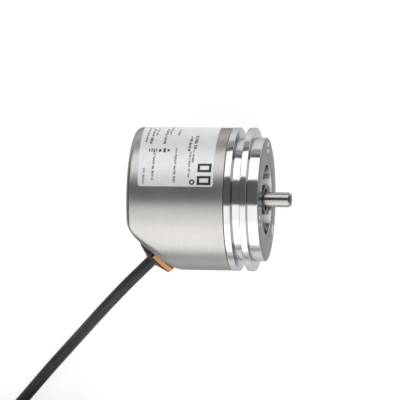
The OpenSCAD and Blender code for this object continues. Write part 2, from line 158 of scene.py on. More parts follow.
def turned(name, base, rough, metal=1.0, axis="X", centre=(0, 0, 0), lines=3.0, depth=0.02, vary=0.06, wear=0.12, edge=0.6):
    """Metal cut on a lathe: fine rings round the axis, on faces and on cylinders alike."""
    g = Tree(name)
    p = g.mm()
    a, r, th = g.polar(p, axis, centre)
    v = g.vec(a, r, g.math("MULTIPLY", th, 0.06))
    fine = g.noise(v, lines * 3.1, 2.0, 0.6)
    broad = g.noise(v, lines * 0.55, 2.0, 0.5)
    smear = g.noise(p, 0.16, 3.0, 0.55)
    k = g.math("ADD", g.math("MULTIPLY", fine, 0.55), g.math("MULTIPLY", broad, 0.45))
    col = g.mixc(g.ramp(k, [(0.35, 0.0), (0.65, 1.0)]), shade(base, 1 - vary), shade(base, 1 + vary))
    col = g.mixc(g.math("MULTIPLY", g.ramp(smear, [(0.42, 0.0), (0.7, 1.0)]), wear), col, shade(base, 0.72))
    rg = g.math("ADD", g.math("MULTIPLY", g.math("SUBTRACT", fine, 0.5), 0.12), g.math("MULTIPLY_ADD", smear, 0.10, rough - 0.05))
    g.b.inputs["Specular Tint"].default_value = (edge, edge, edge, 1)
    return g.out(Base_Color=col, Metallic=metal, Roughness=rg, Normal=g.bump(k, 0.35, depth * MM))


def machined(name, base, rough, metal=1.0, scale=0.8, vary=0.1, bump=0.01):
    """Plain metal with a slight mottled finish and fine scratches."""
    g = Tree(name)
    p = g.mm()
    n1 = g.noise(p, scale, 4.0, 0.6)
    s = g.add("ShaderNodeMapping", Vector=p, Scale=(1.0, 9.0, 5.0), Rotation=(0.3, 0.5, 0.7)).outputs[0]
    n2 = g.noise(s, scale * 2.2, 2.0, 0.5)
    col = g.mixc(g.ramp(n1, [(0.3, 0.0), (0.7, 1.0)]), shade(base, 1 - vary), shade(base, 1 + vary))
    rg = g.math("MULTIPLY_ADD", n2, 0.16, rough - 0.08)
    return g.out(Base_Color=col, Metallic=metal, Roughness=rg, Normal=g.bump(g.math("ADD", n1, n2), 0.3, bump * MM))


def moulded(name, base, rough, grain=3.5, vary=0.12, bump=0.02, coat=0.0, sheen=0.0, spec=0.5):
    """Moulded plastic or rubber: fine grain, soft blotches, pale specks of dust."""
    g = Tree(name)
    p = g.mm()
    fine = g.noise(p, grain, 4.0, 0.62)
    blotch = g.noise(p, 0.22, 3.0, 0.5)
    vor = g.add("ShaderNodeTexVoronoi", Vector=p, Scale=grain * 1.4).outputs["Distance"]
    col = g.mixc(g.ramp(blotch, [(0.35, 0.0), (0.68, 1.0)]), shade(base, 1 - vary), shade(base, 1 + vary))
    col = g.mixc(g.math("MULTIPLY", g.ramp(fine, [(0.5, 0.0), (0.75, 1.0)]), 0.18), col, shade(base, 1.5))
    rg = g.math("MULTIPLY_ADD", fine, 0.22, rough - 0.11)
    h = g.math("ADD", g.math("MULTIPLY", fine, 0.7), g.math("MULTIPLY", vor, 0.3))
    g.b.inputs["Coat Weight"].default_value = coat
    g.b.inputs["Sheen Weight"].default_value = sheen
    g.b.inputs["Specular IOR Level"].default_value = spec
    return g.out(Base_Color=col, Metallic=0.0, Roughness=rg, Normal=g.bump(h, 0.4, bump * MM))


def clear(name, base, rough=0.03, alpha=0.35):
    g = Tree(name)
    p = g.mm()
    n = g.noise(p, 0.5, 3.0, 0.5)
    col = g.mixc(n, shade(base, 0.92), base)
    g.b.inputs["Alpha"].default_value = alpha
    g.b.inputs["IOR"].default_value = 1.5
    g.m.blend_method = "BLEND"
    return g.out(Base_Color=col, Metallic=0.0, Roughness=g.math("MULTIPLY_ADD", n, 0.06, rough))


def housing_metal(name):
    """Nickel-plated steel, brushed round the axis: short streaks round the housing, faint darker blotches."""
    g = Tree(name)
    p = g.mm()
    a, r, th = g.polar(p)
    v = g.vec(a, g.math("MULTIPLY", r, 0.4), g.math("MULTIPLY", th, 1.6))
    s1 = g.noise(v, 4.2, 2.0, 0.6)
    s2 = g.noise(v, 1.3, 3.0, 0.55)
    s3 = g.noise(g.vec(a, g.math("MULTIPLY", r, 0.4), g.math("MULTIPLY", th, 5.0)), 9.0, 1.0, 0.5)
    blot = g.noise(p, 0.11, 3.0, 0.55)
    k = g.math("ADD", g.math("MULTIPLY", s1, 0.45), g.math("ADD", g.math("MULTIPLY", s2, 0.3), g.math("MULTIPLY", s3, 0.25)))
    base = (0.428, 0.419, 0.408)
    col = g.mixc(g.ramp(k, [(0.36, 0.0), (0.64, 1.0)]), shade(base, 0.95), shade(base, 1.05))
    col = g.mixc(g.math("MULTIPLY", g.ramp(blot, [(0.4, 0.0), (0.7, 1.0)]), 0.16), col, (0.37, 0.364, 0.357))
    rg = g.math("ADD", g.math("MULTIPLY", g.math("SUBTRACT", s1, 0.5), 0.10), g.math("MULTIPLY_ADD", blot, 0.08, 0.27))
    g.b.inputs["Anisotropic"].default_value = 0.3
    g.b.inputs["Specular Tint"].default_value = (0.42, 0.42, 0.43, 1)
    tan = g.add("ShaderNodeTangent", p_direction_type="RADIAL", p_axis="X").outputs[0]
    return g.out(Base_Color=col, Metallic=1.0, Roughness=rg, Tangent=tan, Normal=g.bump(k, 0.15, 0.004 * MM))


def label_foil(name):
    g = Tree(name)
    p = g.mm()
    n = g.noise(p, 0.25, 3.0, 0.5)
    f = g.noise(p, 5.0, 3.0, 0.6)
    col = g.mixc(g.ramp(n, [(0.35, 0.0), (0.7, 1.0)]), (0.745, 0.75, 0.765), (0.80, 0.805, 0.815))
    return g.out(Base_Color=col, Metallic=0.35, Roughness=g.math("MULTIPLY_ADD", f, 0.12, 0.38), Normal=g.bump(f, 0.1, 0.006 * MM))


def cable_jacket(name):
    """Matt polyurethane: fine flow grain, scuffs, a slight bluish black."""
    g = Tree(name)
    p = g.mm()
    fine = g.noise(p, 3.0, 4.0, 0.65)
    scuff = g.noise(p, 0.35, 4.0, 0.6)
    col = g.mixc(g.ramp(scuff, [(0.35, 0.0), (0.72, 1.0)]), (0.024, 0.025, 0.029), (0.039, 0.041, 0.047))
    g.b.inputs["Specular IOR Level"].default_value = 0.27
    return g.out(Base_Color=col, Metallic=0.0, Roughness=g.math("MULTIPLY_ADD", fine, 0.20, 0.40), Normal=g.bump(fine, 0.5, 0.03 * MM))


def board(name):
    g = Tree(name)
    p = g.mm()
    weave = g.add("ShaderNodeTexWave", p_wave_type="BANDS", p_bands_direction="Y", Vector=p, Scale=2.2, Distortion=0.4).outputs["Fac"]
    weave2 = g.add("ShaderNodeTexWave", p_wave_type="BANDS", p_bands_direction="Z", Vector=p, Scale=2.2, Distortion=0.4).outputs["Fac"]
    k = g.math("MULTIPLY", weave, weave2)
    tr = g.add("ShaderNodeTexVoronoi", p_feature="DISTANCE_TO_EDGE", Vector=p, Scale=0.28).outputs["Distance"]
    col = g.mixc(k, (0.015, 0.13, 0.06), (0.02, 0.17, 0.075))
    col = g.mixc(g.ramp(tr, [(0.0, 1.0), (0.05, 1.0), (0.07, 0.0)]), col, (0.05, 0.27, 0.12))
    return g.out(Base_Color=col, Metallic=0.0, Roughness=0.32, Normal=g.bump(k, 0.2, 0.02 * MM))


PLUG_AT = (-99.8, -135.5, -1.6)
ALU = (0.60, 0.61, 0.625)
M = {
    "flange": turned("m_flange", ALU, 0.12, lines=2.6, depth=0.010, vary=0.05, wear=0.10),
    # painted shade: a much darker copy of the flange aluminium, for the faces square to the axis
    "shaded_flange_face": turned("m_shaded_flange_face", (0.172, 0.175, 0.200), 0.24, lines=2.0, depth=0.03, vary=0.07, wear=0.2),
    # painted shade: a dimmer copy of the flange aluminium, for the rings' sides that face forward
    "shaded_ring_face": turned("m_shaded_ring_face", (0.46, 0.47, 0.495), 0.17, lines=2.6, depth=0.012, vary=0.05, wear=0.10, edge=0.72),
    # painted shade: a darker copy of the flange aluminium, for the walls of the front recess
    "recess": turned("m_recess", (0.50, 0.505, 0.52), 0.17, lines=2.6, depth=0.02, vary=0.07, wear=0.15, edge=0.5),
    # painted shade: a near-black copy of the flange aluminium, for the sleeve deep in the recess
    "sleeve": turned("m_sleeve", (0.11, 0.11, 0.115), 0.24, lines=4.0, depth=0.02, vary=0.12, wear=0.2, edge=0.5),
    # painted shade: a near-black copy of the shaft steel, for the shaft's end face
    "shaft_end": turned("m_shaded_shaft_end", (0.10, 0.098, 0.094), 0.3, lines=3.6, depth=0.02, vary=0.1, wear=0.2),
    "housing": housing_metal("m_housing"),
    "label": label_foil("m_label"),
    "ink": moulded("m_ink", (0.022, 0.022, 0.025), 0.5, 6.0, 0.2, 0.004),
    "ink_pale": moulded("m_ink_pale", (0.20, 0.203, 0.215), 0.5, 6.0, 0.2, 0.004),
    "ink_mid": moulded("m_ink_mid", (0.10, 0.102, 0.11), 0.5, 6.0, 0.2, 0.004),
    "shaft": turned("m_shaft", (0.39, 0.377, 0.352), 0.17, lines=3.6, depth=0.01, vary=0.05, wear=0.08, edge=0.42),
    "rubber": moulded("m_rubber", (0.030, 0.030, 0.032), 0.62, 4.0, 0.2, 0.03),
    "relief": moulded("m_relief", (0.014, 0.0145, 0.016), 0.55, 3.5, 0.2, 0.03),
    "orange": moulded("m_orange", (0.60, 0.262, 0.10), 0.52, 3.0, 0.10, 0.03),
    "cable": cable_jacket("m_cable"),
    "bright": machined("m_bright_steel", (0.62, 0.62, 0.63), 0.28),
    "bearing": turned("m_bearing_steel", (0.66, 0.66, 0.68), 0.12, lines=5, depth=0.006, vary=0.04),
    "spring": machined("m_spring_steel", (0.20, 0.20, 0.22), 0.34),
    "screw": machined("m_screw_steel", (0.55, 0.55, 0.57), 0.3, scale=1.6),
    "black_plastic": moulded("m_black_plastic", (0.026, 0.027, 0.029), 0.48, 3.2, 0.2, 0.025),
    "white_plastic": moulded("m_white_plastic", (0.76, 0.75, 0.70), 0.45, 2.5, 0.05, 0.015),
    "chip": moulded("m_chip", (0.022, 0.022, 0.024), 0.6, 7.0, 0.15, 0.012),
    "clear": clear("m_clear", (0.88, 0.93, 0.95), 0.04, 0.45),
    "glass": clear("m_code_glass", (0.80, 0.90, 0.90), 0.03, 0.35),
    "track": turned("m_track", (0.10, 0.10, 0.11), 0.15, lines=4),
    "board": board("m_board"),
    "brass": machined("m_brass", (0.66, 0.49, 0.22), 0.26),
    "gold": machined("m_gold", (0.78, 0.57, 0.20), 0.2, scale=2.0),
    "cap": moulded("m_capacitor", (0.48, 0.33, 0.17), 0.4, 4.0, 0.15, 0.01),
    "nut": turned("m_nut", (0.60, 0.585, 0.555), 0.24, centre=PLUG_AT, lines=3.5, depth=0.01),
    "wire": moulded("m_wire", (0.45, 0.16, 0.07), 0.4, 3.0, 0.1, 0.01),
}

# ---------------------------------------------------------------- mesh kit
RNG = np.random.default_rng(58)


def make(name, verts, faces, mats, body, replaces=(), slot=None, sharp=32, mat_index=None):
    """A mesh piece from millimetre points, smooth but for its sharp edges."""
    me = bpy.data.meshes.new(name)
    me.from_pydata([tuple(c * MM for c in v) for v in verts], [], faces)
    me.validate()
    for m in mats:
        me.materials.append(M[m])
    bm = bmesh.new()
    bm.from_mesh(me)
    bmesh.ops.remove_doubles(bm, verts=bm.verts, dist=1e-7)
    bmesh.ops.recalc_face_normals(bm, faces=bm.faces)
    for f in bm.faces:
        f.smooth = True
    for e in bm.edges:
        e.smooth = not (len(e.link_faces) == 2 and e.calc_face_angle(0) > math.radians(sharp))
    bm.to_mesh(me)
    bm.free()
    if mat_index is not None:
        for poly, i in zip(me.polygons, mat_index):
            poly.material_index = i
    o = bpy.data.objects.new(name, me)
    scene.collection.objects.link(o)
    if body:
        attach(o, body)
    if replaces:
        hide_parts(*replaces)
    return o


def fillet(pts, n=4):
    """Rounds the corners of a closed outline: points are (radius, along) or (radius, along, corner radius)."""
    out = []
    m = len(pts)
    for i in range(m):
        p = np.array(pts[i][:2], float)
        rad = pts[i][2] if len(pts[i]) > 2 else 0.0
        if rad <= 0:
            out.append(tuple(p))
            continue
        a = np.array(pts[i - 1][:2], float) - p
        b = np.array(pts[(i + 1) % m][:2], float) - p
        la, lb = np.linalg.norm(a), np.linalg.norm(b)
        a, b = a / la, b / lb
        ang = math.acos(max(-1, min(1, float(a @ b))))
        if ang > 3.1:
            out.append(tuple(p))
            continue
        t = min(rad / math.tan(ang / 2), la * 0.48, lb * 0.48)
        rr = t * math.tan(ang / 2)
        c = p + (a + b) / np.linalg.norm(a + b) * (rr / math.sin(ang / 2))
        s, e = p + a * t - c, p + b * t - c
        sweep = math.atan2(s[0] * e[1] - s[1] * e[0], float(s @ e))
        for k in range(n + 1):
            w = sweep * k / n
            out.append((c[0] + s[0] * math.cos(w) - s[1] * math.sin(w), c[1] + s[0] * math.sin(w) + s[1] * math.cos(w)))
    return out


def lathe(profile, n=192, frame_m=None, closed=True):
    """Points and faces of an outline [(radius, along)] turned about its axis; along is local +X unless frame_m says otherwise."""
    verts, faces, rows = [], [], []
    for r, x in profile:
        if r < 1e-6:
            rows.append([len(verts)] * n)
            verts.append((x, 0, 0))
        else:
            rows.append(list(range(len(verts), len(verts) + n)))
            verts += [(x, r * math.cos(2 * math.pi * k / n), r * math.sin(2 * math.pi * k / n)) for k in range(n)]
    m = len(rows)
    for i in range(m if closed else m - 1):
        a, b = rows[i], rows[(i + 1) % m]
        if a[0] == a[1] and b[0] == b[1]:
            continue
        for k in range(n):
            q = [a[k], a[(k + 1) % n], b[(k + 1) % n], b[k]]
            q = [v for j, v in enumerate(q) if v not in q[:j]]
            if len(q) > 2:
                faces.append(q)
    if frame_m is not None:
        verts = [tuple(frame_m @ Vector(v)) for v in verts]
    return verts, faces


def frame_of(origin, axis, ref=(0, 0, 1)):
    """Local +X along axis, in millimetres."""
    x = Vector(axis).normalized()
    y = Vector(ref).cross(x).normalized()
    z = x.cross(y)
    m = Matrix((x, y, z)).transposed().to_4x4()
    m.translation = Vector(origin)
    return m


def add(parts):
    """Several (verts, faces) as one."""
    v, f = [], []
    for a, b in parts:
        k = len(v)
        v += list(a)
        f += [[i + k for i in q] for q in b]
    return v, f


def temp(verts, faces):
    me = bpy.data.meshes.new("tmp")
    me.from_pydata([tuple(c * MM for c in v) for v in verts], [], faces)
    bm = bmesh.new()
    bm.from_mesh(me)
    bmesh.ops.remove_doubles(bm, verts=bm.verts, dist=1e-7)
    bmesh.ops.recalc_face_normals(bm, faces=bm.faces)
    bm.to_mesh(me)
    bm.free()
    o = bpy.data.objects.new("tmp", me)
    scene.collection.objects.link(o)
    return o


def cut(o, cutters, sharp=32):
    """Subtracts the cutters and keeps the result as plain mesh."""
    for c in cutters:
        md = o.modifiers.new("cut", "BOOLEAN")
        md.operation, md.solver, md.object = "DIFFERENCE", "EXACT", c
    dg = bpy.context.evaluated_depsgraph_get()
    me = bpy.data.meshes.new_from_object(o.evaluated_get(dg))
    o.modifiers.clear()
    old = o.data
    o.data = me
    bpy.data.meshes.remove(old)
    bm = bmesh.new()
    bm.from_mesh(me)
    bmesh.ops.dissolve_degenerate(bm, dist=1e-7, edges=bm.edges)
    for f in bm.faces:
        f.smooth = True
    for e in bm.edges:
        e.smooth = not (len(e.link_faces) == 2 and e.calc_face_angle(0) > math.radians(sharp))
    bm.to_mesh(me)
    bm.free()
    for c in cutters:
        d = c.data
        bpy.data.objects.remove(c)
        bpy.data.meshes.remove(d)


def smooth_step(t):
    t = min(1.0, max(0.0, t))
    return t * t * (3 - 2 * t)


# ---------------------------------------------------------------- cord
CD = 4.7
LEAD = [
    (-35, -17.6, 0), (-42.5, -25.1, 0), (-47, -29.5, 0), (-51.6, -34, 0),
    (-56.3, -38.7, -1), (-61.3, -43.6, -3.6), (-66.6, -48.6, -8.2), (-72.2, -53.6, -15.2),
    (-78, -58.9, -21.8), (-83.1, -64, -25.2), (-87.9, -69.1, -26.4), (-92.3, -74.2, -26.6),
    (-96.7, -79.4, -26.6), (-101, -84.5, -26.5), (-105.5, -89.8, -26.2), (-110, -95.2, -25.8), (-114.7, -100.7, -25.65),
]
TAIL = [
    (-92, -90.3, -11.2), (-99.8, -90.3, -10.7), (-109.1, -92.3, -10.1), (-116.6, -98.1, -9.5), (-121, -105.5, -9.1),
    (-122.3, -112.8, -8.8), (-121.3, -120.1, -7.9), (-118.1, -126.7, -6.3), (-112.7, -131.9, -4.4),
    (-106.6, -134.7, -2.6), (-99.8, -135.5, -1.7), (-92.8, -135.5, -1.6),
]
COIL = (-89.3, -122.0)
COIL_MID, LAYER, COIL_Z = 26.7, 4.8, -28 + CD / 2
TURNS, LAYERS, ALL_TURNS = 2.8, 4, 10.875


def coil_point(phi):
    """A point of the winding after phi turns: each layer spirals in or out, then the cable steps up to the next."""
    a = math.radians(140 + 360 * phi)
    lo = COIL_MID - TURNS / 2 * LAYER
    w = abs(phi % (2 * TURNS) - TURNS)  # 2.8 at the outside, 0 at the inside
    soft = 0.16
    if w < soft:
        w = (w * w + soft * soft) / (2 * soft)
    elif w > TURNS - soft and phi > 1:
        v = TURNS - w
        w = TURNS - (v * v + soft * soft) / (2 * soft)
    z = COIL_Z + LAYER * sum(smooth_step((phi - TURNS * k + 0.17) / 0.34) for k in range(1, LAYERS))
    r = lo + LAYER * w
    return (COIL[0] + r * math.cos(a), COIL[1] + r * math.sin(a), z)


def through(pts, step=1.6):
    """A smooth line through the points (centripetal), sampled about every step millimetres; the two end points only steer it."""
    p = [np.array(q, float) for q in pts]
    out = []
    for i in range(1, len(p) - 2):
        p0, p1, p2, p3 = p[i - 1:i + 3]
        t0 = 0.0
        t1 = t0 + np.linalg.norm(p1 - p0) ** 0.5
        t2 = t1 + np.linalg.norm(p2 - p1) ** 0.5
        t3 = t2 + np.linalg.norm(p3 - p2) ** 0.5
        n = max(2, int(np.linalg.norm(p2 - p1) / step))
        for k in range(n):
            t = t1 + (t2 - t1) * k / n
            a1 = (t1 - t) / (t1 - t0) * p0 + (t - t0) / (t1 - t0) * p1
            a2 = (t2 - t) / (t2 - t1) * p1 + (t - t1) / (t2 - t1) * p2
            a3 = (t3 - t) / (t3 - t2) * p2 + (t - t2) / (t3 - t2) * p3
            b1 = (t2 - t) / (t2 - t0) * a1 + (t - t0) / (t2 - t0) * a2
            b2 = (t3 - t) / (t3 - t1) * a2 + (t - t1) / (t3 - t1) * a3
            out.append((t2 - t) / (t2 - t1) * b1 + (t - t1) / (t2 - t1) * b2)
    out.append(p[-2])
    return out


first = tuple(2 * a - b for a, b in zip(LEAD[0], LEAD[1]))
turns = [coil_point(i / 72) for i in range(2, int(ALL_TURNS * 72) - 1)]
last = tuple(2 * a - b for a, b in zip(TAIL[-1], TAIL[-2]))
line = through([first] + LEAD + turns + TAIL + [last])
line = np.array(line)
for _ in range(6):  # evens out the joins between route points, ends kept
    line[1:-1] = 0.25 * line[:-2] + 0.5 * line[1:-1] + 0.25 * line[2:]
curve = bpy.data.curves.new("cable", "CURVE")
curve.dimensions = "3D"
sp = curve.splines.new("POLY")
sp.points.add(len(line) - 1)
for q, c in zip(sp.points, line):
    q.co = (c[0] * MM, c[1] * MM, c[2] * MM, 1)
curve.bevel_depth = CD / 2 * MM
curve.bevel_resolution = 6
curve.use_fill_caps = True
curve.twist_mode = "Z_UP"
sp.use_smooth = True
curve.materials.append(M["cable"])
cable = bpy.data.objects.new("cable", curve)
scene.collection.objects.link(cable)
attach(cable, "housing")
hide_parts("cable_lead", "cable_coil", "cable_tail")

# connector, its axis along +X
PLUG = frame_of(PLUG_AT, (1, 0, 0))


def in_plug(profile, n=96):
    return lathe(profile, n, PLUG)


ribs = []
prof = [(2.4, 0), (3.1, 0, 0.3)]
for i in range(4):
    s = 2.4 + i * 2.8
    rr = 3.4 + (5 - 3.4) * (s - 0.5) / 12.5
    r2 = 3.4 + (5 - 3.4) * (s + 0.6) / 12.5
    prof += [(rr, s, 0.2), (3.1 + i * 0.3, s + 0.1, 0.25), (3.1 + i * 0.3, s + 1.0, 0.25), (r2, s + 1.1, 0.2)]
prof += [(5, 13, 0.3), (5, 14, 0.2), (2.4, 14)]
relief2 = make("connector_relief", *in_plug(fillet(prof, 3)), ["rubber"], "housing", ["plug_relief"], "black_rubber")

prof = [(0, 14.02), (5.2, 14.02, 0.2), (6.1, 15, 0.4), (6.1, 30, 0.3), (5.9, 30.4), (5.9, 31.2, 0.1), (4.6, 31.2, 0.05), (4.6, 47.5, 0.05), (5.1, 47.7, 0.1),
        (5.1, 48.3, 0.15), (4.7, 48.8, 0.1), (4.3, 48.8, 0.1), (4.3, 40, 0.05), (0, 40)]
verts, faces = in_plug(fillet(prof, 3), 240)
moved = []
inv = PLUG.inverted()
for v in verts:  # finger grooves along the grip
    q = inv @ Vector(v)
    rr = math.hypot(q.y, q.z)
    if rr > 5.7 and 14.5 < q.x < 30.3:
        a = math.degrees(math.atan2(q.z, q.y)) % 30
        a = min(a, 30 - a)
        d = 0.55 * (0.5 + 0.5 * math.cos(math.pi * min(1, a / 7))) * smooth_step((q.x - 15.6) / 1.2) * smooth_step((29.2 - q.x) / 1.2)
        q.y, q.z = q.y * (rr - d) / rr, q.z * (rr - d) / rr
    moved.append(tuple(PLUG @ q))
body_rows = make("connector_body", moved, faces, ["black_plastic"], "housing", ["plug_body"], "black_plastic")

prof = [(4.7, 31.5, 0.1), (6.7, 31.5, 0.15), (7.1, 31.9, 0.1), (7.1, 32.2), (7.1, 39.3), (7.1, 39.6, 0.1), (6.7, 40, 0.15), (5.4, 40, 0.1), (5.4, 42, 0.1), (5.6, 42.4)]
s = 42.7
while s < 49.6:  # thread crests
    prof += [(5.98, s), (5.98, s + 0.12), (5.45, s + 0.5), (5.45, s + 0.62)]
    s += 1.0
prof += [(5.6, 50.1), (5.5, 50.5, 0.1), (5.25, 50.5, 0.1), (5.25, 47.2, 0.1), (4.7, 47.2, 0.1)]
p2 = fillet(prof, 2)
dense = []
for a, b in zip(p2, p2[1:] + p2[:1]):  # extra rings along the grip for the knurl
    dense.append(a)
    if abs(a[0] - 7.1) < 0.02 and abs(b[0] - 7.1) < 0.02 and b[1] - a[1] > 2:
        dense += [(7.1, a[1] + (b[1] - a[1]) * k / 24) for k in range(1, 24)]
verts, faces = in_plug(dense, 288)
moved = []
for v in verts:
    q = inv @ Vector(v)
    rr = math.hypot(q.y, q.z)
    if rr > 7.05 and 32.1 < q.x < 39.4:
        th = math.atan2(q.z, q.y) * 36
        u = (q.x - 31) * 2 * math.pi / 1.24
        d = 0.28 * (abs(math.sin((th + u) / 2)) * abs(math.sin((th - u) / 2)))
        q.y, q.z = q.y * (rr + 0.1 - d) / rr, q.z * (rr + 0.1 - d) / rr
    moved.append(tuple(PLUG @ q))
nut = make("connector_nut", moved, faces, ["nut"], "coupling_nut", ["plug_nut"], "nut_nickel", sharp=40)


def bundle(ang):
    """The taut outline round the windings where the tie crosses them, in the tie's plane."""
    dots = []
    for i in range(int(ALL_TURNS * 360)):
        q = coil_point(i / 360)
        dx, dy = q[0] - COIL[0], q[1] - COIL[1]
        a = math.radians(ang)
        along, side = dx * math.cos(a) + dy * math.sin(a), -dx * math.sin(a) + dy * math.cos(a)
        if along > 0 and abs(side) < 2.0:
            dots += [(along - COIL_MID + (CD / 2 + 0.05) * math.cos(k * math.pi / 16), q[2] + 28.0 + (CD / 2 + 0.05) * math.sin(k * math.pi / 16)) for k in range(32)]
    dots = sorted(set((round(x, 4), round(y, 4)) for x, y in dots))
    hull = []
    for run in (dots, dots[::-1]):
        part = []
        for q in run:
            while len(part) > 1 and (part[-1][0] - part[-2][0]) * (q[1] - part[-2][1]) - (part[-1][1] - part[-2][1]) * (q[0] - part[-2][0]) <= 0:
                part.pop()
            part.append(q)
        hull += part[:-1]
    keep = [hull[0]]
    for q in hull[1:]:
        if math.dist(q, keep[-1]) > 0.25:
            keep.append(q)
    return keep


for ang in (50, 262):
    fm = Matrix.Translation((COIL[0], COIL[1], -28.0)) @ Matrix.Rotation(math.radians(ang), 4, "Z") @ Matrix.Translation((COIL_MID, 0, 0)) @ Matrix.Rotation(math.radians(90), 4, "X")
    path = bundle(ang)
    m = len(path)
    section = [(0.02, -1.8), (0.02, 1.8), (0.75, 1.8), (0.88, 1.6), (0.88, -1.6), (0.75, -1.8)]
    v, f = [], []
    for i in range(m):
        p, a, b = (np.array(path[j % m]) for j in (i, i - 1, i + 1))
        t = (b - a) / np.linalg.norm(b - a)
        nrm = np.array((t[1], -t[0]))
        for d, w in section:
            q = p + nrm * d
            v.append(tuple(fm @ Vector((q[0], q[1], w))))
    k = len(section)
    for i in range(m):
        for j in range(k):
            f.append([i * k + j, i * k + (j + 1) % k, ((i + 1) % m) * k + (j + 1) % k, ((i + 1) % m) * k + j])
    parts = [(v, f)]

    def block(x0, x1, y0, y1, z0, z1, c=0.35):
        """A box with chamfered edges, in the tie's frame."""
        bm = bmesh.new()
        bmesh.ops.create_cube(bm, size=1)
        for q in bm.verts:
            q.co = Vector(((x0 + x1) / 2 + q.co.x * (x1 - x0), (y0 + y1) / 2 + q.co.y * (y1 - y0), (z0 + z1) / 2 + q.co.z * (z1 - z0)))
        bmesh.ops.bevel(bm, geom=list(bm.edges), offset=c, segments=2, affect="EDGES", profile=0.5)
        bm.verts.index_update()
        r = ([tuple(fm @ q.co) for q in bm.verts], [[q.index for q in g.verts] for g in bm.faces])
        bm.free()
        return r

    # the head sits on the outer side, halfway up
    top = max(p[1] for p in path) / 2
    for i in range(m):
        a, b = path[i], path[(i + 1) % m]
        if a[1] <= top < b[1]:
            seat = Vector((a[0] + (b[0] - a[0]) * (top - a[1]) / (b[1] - a[1]), top, 0))
            lean = math.atan2(a[0] - b[0], b[1] - a[1])
    fm = fm @ Matrix.Translation(seat) @ Matrix.Rotation(lean, 4, "Z")
    x, H0 = 0.85, 0.0
    parts += [block(x, x + 1.1, H0 / 2 - 2.6, H0 / 2 + 2.6, -2.6, 2.6), block(x + 2.3, x + 3.3, H0 / 2 - 2.6, H0 / 2 + 2.6, -2.6, 2.6),
              block(x + 0.6, x + 2.8, H0 / 2 - 2.6, H0 / 2 + 2.6, -2.6, -1.8, 0.2), block(x + 0.6, x + 2.8, H0 / 2 - 2.6, H0 / 2 + 2.6, 1.8, 2.6, 0.2),
              block(x + 1.2, x + 2.1, H0 / 2 - 2.3, H0 / 2 + 5.0, -1.7, 1.7, 0.2)]
    make(f"tie_{ang}", *add(parts), ["black_plastic"], "housing", slot="black_plastic")
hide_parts("cable_ties")

# ---------------------------------------------------------------- flange
S2 = 27.3 - 0.1
flange_profile = fillet([
    (8, -22.05), (8, -1), (4.6, -1), (4.6, 3.8, 0.1), (5.9, 3.8, 0.12), (5.9, 0.2, 0.2), (14, 0.2, 0.3), (14, 4.2, 0.2), (25, 4.2, 0.35),
    (25, 0, 0.12), (29, 0, 0.32), (29, -2.7, 0.32), (24.75, -2.7, 0.25), (24.75, -6.3, 0.25), (29, -6.3, 0.32), (29, -9.1, 0.32),
    (S2, -9.1, 0.05), (S2, -10.4), (S2 - 1.1, -10.4), (S2 - 1.1, -12), (S2, -12), (S2, -12.6), (S2 - 0.4, -13), (11, -13, 0.3), (11, -24), (10.5, -24.5),
    (8, -24.5), (8, -22.95), (8.6, -22.95), (8.6, -22.05)], 4)
fv, ff = lathe(flange_profile, 288)
flange = make("flange_turned", fv, ff, ["flange", "shaded_flange_face", "recess", "sleeve", "shaded_ring_face"], "housing", ["flange"], "flange_aluminium")


def thread_cutter(x0, x1, r_core, pitch, depth, frame_m):
    prof = [(0, x1 + 0.4), (r_core + 0.75, x1 + 0.4), (r_core + 0.7, x1), (r_core, x1 - 0.55)]
    s = x1 - 0.75
    while s > x0 + 0.4:
        prof += [(r_core, s), (r_core + depth, s - pitch * 0.45), (r_core, s - pitch * 0.9)]
        s -= pitch
    prof += [(r_core, x0 + 0.1), (0, x0 - 0.5)]
    return temp(*lathe(prof, 40, frame_m, closed=False))


cutters = []
for a in (-5.6, 114.4, 234.4):
    c = (0, 21 * math.cos(math.radians(a)), 21 * math.sin(math.radians(a)))
    cutters.append(thread_cutter(-3.5, 4.2, 1.62, 0.7, 0.3, frame_of(c, (1, 0, 0))))
for y, z in [(21.5 * math.cos(math.radians(a)), 21.5 * math.sin(math.radians(a))) for a in (0, 120, 240)]:
    cutters.append(temp(*lathe([(0, -14), (1.25, -14), (1.25, -8), (0, -7.6)], 32, frame_of((0, y, z), (1, 0, 0)), closed=False)))
for y in (-6.6, 6.6):
    cutters.append(temp(*lathe([(0, -14), (1.0, -14), (1.0, -8), (0, -7.6)], 32, frame_of((0, y, 16), (1, 0, 0)), closed=False)))
cut(flange, cutters, 34)
for poly in flange.data.polygons:  # faces square to the axis are rougher than the turned sides and get a much darker copy of the aluminium: painted shade
    poly.material_index = 1 if abs(poly.normal.x) > 0.93 else 0
    q = poly.center / MM
    far_out = math.hypot(q.y, q.z)
    # painted shade: the rings' forward-facing sides get the dimmer copy of the aluminium
    if poly.material_index == 1 and q.x < 0.1 and far_out > 24:
        poly.material_index = 4
    # painted shade: inside the front recess the walls get the darker copy of the aluminium and the sleeve the
    # near-black one
    if 0.1 < q.x < 4.1 and far_out < 14.2 and (far_out < 6.1 or poly.material_index == 0):
        poly.material_index = 3 if far_out < 6.1 else 2

# ---------------------------------------------------------------- housing
CAP_R, CAP_X0, CAP_X1, CAP_S, CAP_T = 28.8, -48.6, -9.25, -61.9, 1.5


def smax(a, b, k):
    h = np.maximum(k - np.abs(a - b), 0) / k
    return np.maximum(a, b) + h * h * k * 0.25


